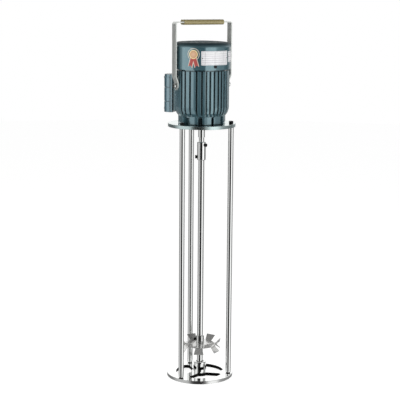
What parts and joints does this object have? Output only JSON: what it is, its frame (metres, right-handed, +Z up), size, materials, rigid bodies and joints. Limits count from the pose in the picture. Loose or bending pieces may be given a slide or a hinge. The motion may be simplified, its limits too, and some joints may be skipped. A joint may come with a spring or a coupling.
{
  "type": "tank agitator",
  "caption": "Portable tank agitator: an enclosed motor with a carrying handle drives a sawtooth impeller on a long shaft inside a three-rod cage that stands on a windowed round plate.",
  "frame": {"origin": "centre of the bottom plate's underside, where the agitator stands", "axes": "+Z up along the shaft, +X through the first tie rod, +Y completes the right-handed frame"},
  "size_m": [0.2169, 0.2, 1.0787],
  "materials": {
    "bearing_steel": "ground steel",
    "black_screw": "black oxide",
    "block_plastic": "moulded plastic with brass studs",
    "box_paint": "teal-grey enamel",
    "bush_plastic": "filled plastic",
    "capacitor_can": "drawn can",
    "copper_winding": "varnished wire",
    "coupling_steel": "turned stainless",
    "cowl_paint": "teal-grey enamel over pressed steel",
    "fan_plastic": "moulded plastic",
    "gland_plastic": "moulded nylon",
    "grip_sleeve": "tan moulded sleeve",
    "impeller_sheet": "fine-ground stainless sheet",
    "lamination": "stacked sheet",
    "motor_paint": "teal-grey enamel over cast aluminium",
    "polished_plate": "mirror-polished stainless steel",
    "polished_rod": "polished stainless steel",
    "screw_steel": "bright stainless",
    "seal_rubber": "moulded rubber",
    "shaft_steel": "ground steel",
    "strap_steel": "satin stainless strip"
  },
  "bodies": {
    "frame": {"bearing_bush": "bush_plastic", "bearing_housing": "polished_rod", "bearing_screws": "screw_steel", "bottom_plate": "polished_plate", "box_gasket": "seal_rubber", "cable_gland": "gland_plastic", "capacitor": "capacitor_can", "cover_screws": "black_screw", "cowl_screws": "black_screw", "drive_bearing_outer_ring": "bearing_steel", "drive_end_shield": "motor_paint", "fan_cowl": "cowl_paint", "flange_screws": "screw_steel", "handle_bolts": "black_screw", "handle_washers": "screw_steel", "motor_housing": "motor_paint", "motor_plate": "polished_plate", "rear_bearing_outer_ring": "bearing_steel", "rear_end_shield": "motor_paint", "rear_shield_screws": "screw_steel", "rod_foot_screws": "screw_steel", "rod_top_screws": "black_screw", "shaft_seal": "seal_rubber", "stator_core": "lamination", "stator_windings": "copper_winding", "terminal_block": "block_plastic", "terminal_box": "box_paint", "terminal_box_cover": "box_paint", "tie_rod_1": "polished_rod", "tie_rod_2": "polished_rod", "tie_rod_3": "polished_rod"},
    "rotor": {"agitator_shaft": "polished_rod", "impeller_hub": "polished_rod", "impeller_disc": "impeller_sheet", "impeller_nut": "screw_steel", "hub_screw": "black_screw", "coupling_sleeve": "coupling_steel", "coupling_screws": "black_screw", "motor_shaft": "shaft_steel", "rotor_core": "lamination", "drive_bearing_inner_ring": "bearing_steel", "rear_bearing_inner_ring": "bearing_steel", "cooling_fan": "fan_plastic", "fan_retaining_ring": "bearing_steel"},
    "handle": {"handle_strap": "strap_steel", "handle_grip": "grip_sleeve"}
  },
  "joints": [
    {"name": "rotor_spin", "type": "hinge", "parent": "frame", "child": "rotor", "pos_m": [0, 0, 0.4], "axis": [0, 0, 1], "continuous": true},
    {"name": "handle_swing", "type": "hinge", "parent": "frame", "child": "handle", "pos_m": [0, 0, 0.8875], "axis": [0.8039, 0.5948, 0], "range_deg": [0, 140]}
  ]
}
